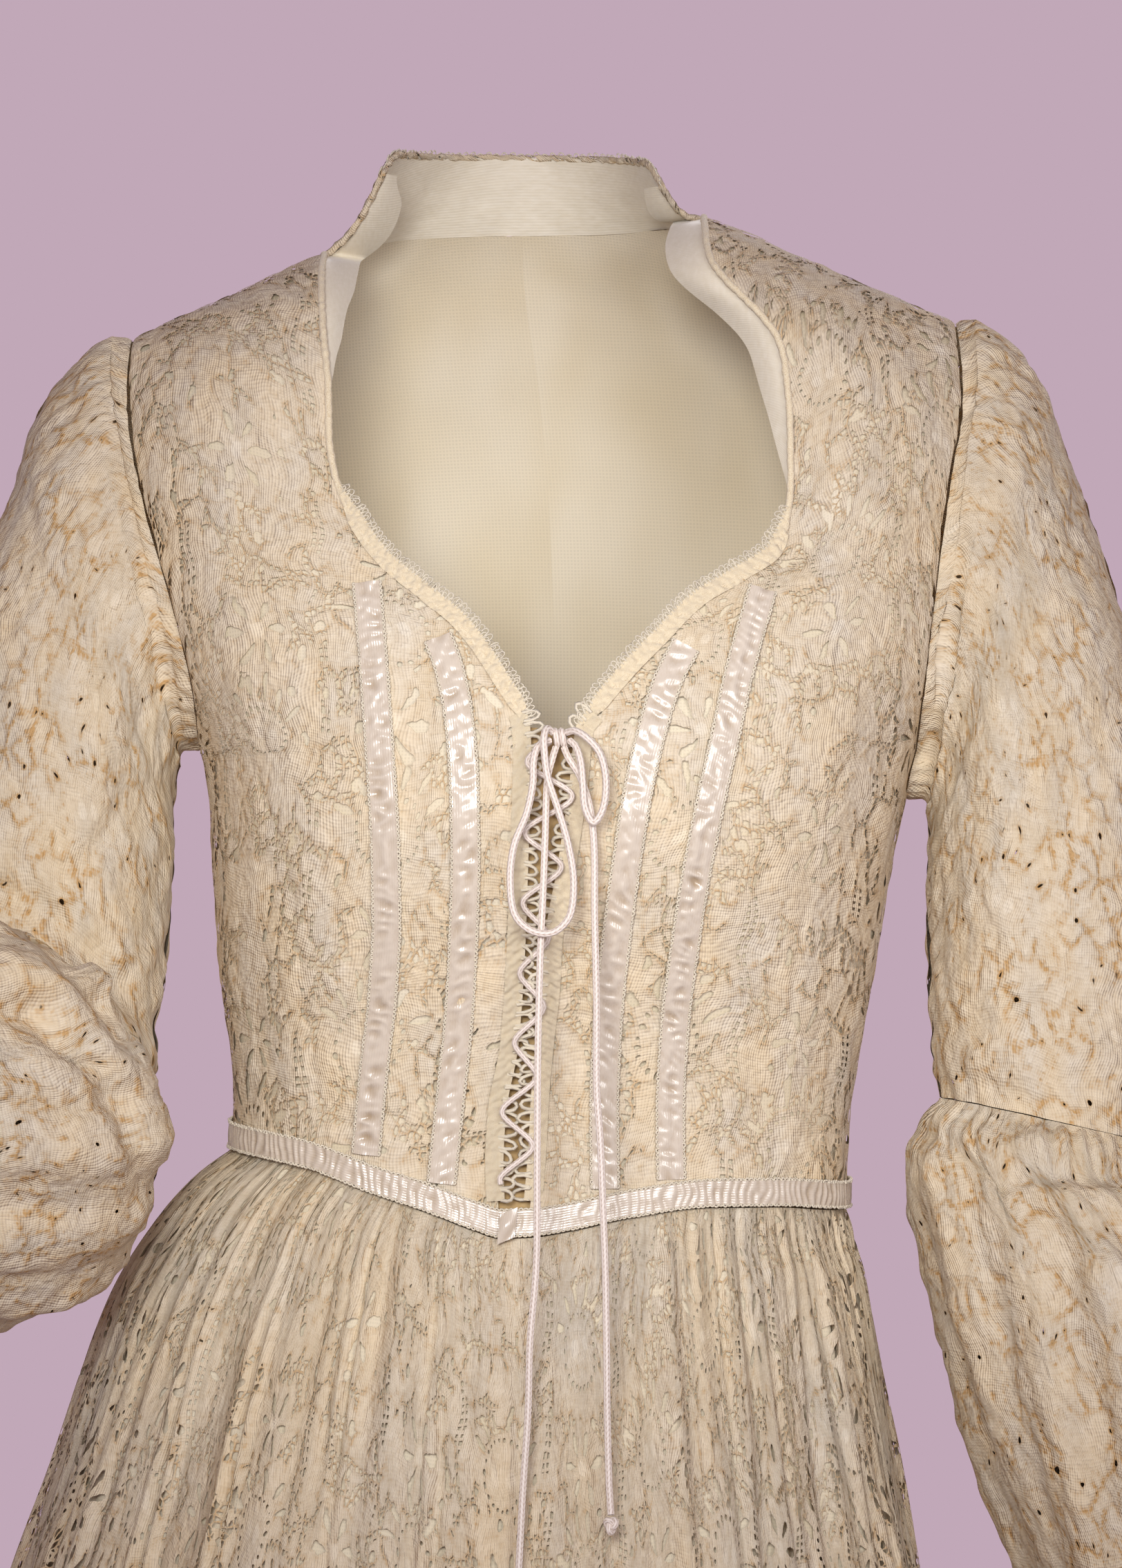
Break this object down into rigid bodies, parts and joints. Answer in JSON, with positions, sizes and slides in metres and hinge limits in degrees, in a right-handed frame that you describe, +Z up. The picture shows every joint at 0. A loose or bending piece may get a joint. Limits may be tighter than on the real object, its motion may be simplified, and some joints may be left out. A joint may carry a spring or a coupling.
{
  "type": "wedding dress",
  "caption": "Long-sleeved lace wedding dress, held in its worn shape, with a stand collar, laced front, satin ribbons, puffed sleeves and a gathered floor-length skirt.",
  "frame": {"origin": "on the wearer's middle line at shoulder level, where the dress is held up", "axes": "+Z up, -Y out of the front, +X towards the side that is on the right when the front is looked at"},
  "size_m": [0.7289, 0.5795, 1.4482],
  "materials": {
    "cotton": "matt woven cotton lining",
    "lace": "matt ecru cotton lace",
    "satin": "cream satin ribbon, soft sheen",
    "edging": "matt looped cotton edging",
    "underlay": "matt tan cotton",
    "braid": "braided rayon cord, soft sheen"
  },
  "bodies": {
    "root": {"bodice_lining_front_left": "cotton", "bodice_lining_back_left": "cotton", "bodice_lining_front_right": "cotton", "bodice_lining_back_right": "cotton", "collar_facing": "cotton", "skirt_lining_front_left": "cotton", "skirt_lining_back_left": "cotton", "skirt_lining_front_right": "cotton", "skirt_lining_back_right": "cotton", "bodice_lace_front_left": "lace", "bodice_lace_back_left": "lace", "bodice_lace_front_right": "lace", "bodice_lace_back_right": "lace", "collar_lace": "lace", "skirt_lace_front_left": "lace", "skirt_lace_back_left": "lace", "skirt_lace_front_right": "lace", "skirt_lace_back_right": "lace", "sleeve_upper_front_left": "lace", "sleeve_upper_back_left": "lace", "sleeve_upper_front_right": "lace", "sleeve_upper_back_right": "lace", "sleeve_lower_front_left": "lace", "sleeve_lower_back_left": "lace", "sleeve_lower_front_right": "lace", "sleeve_lower_back_right": "lace", "cuff_left": "lace", "cuff_right": "lace", "ribbon_outer_left": "satin", "ribbon_inner_left": "satin", "ribbon_inner_right": "satin", "ribbon_outer_right": "satin", "waist_ribbon_front": "satin", "waist_ribbon_back": "satin", "neck_edging_left": "edging", "neck_edging_right": "edging", "lacing_band_left": "edging", "lacing_band_right": "edging", "lacing_underlay": "underlay", "lacing_cord": "braid", "tail_left": "braid", "tail_right": "braid", "bow_loop_left": "braid", "bow_loop_right": "braid", "bow_knot": "braid", "knot_left": "braid", "knot_right": "braid"}
  },
  "joints": []
}
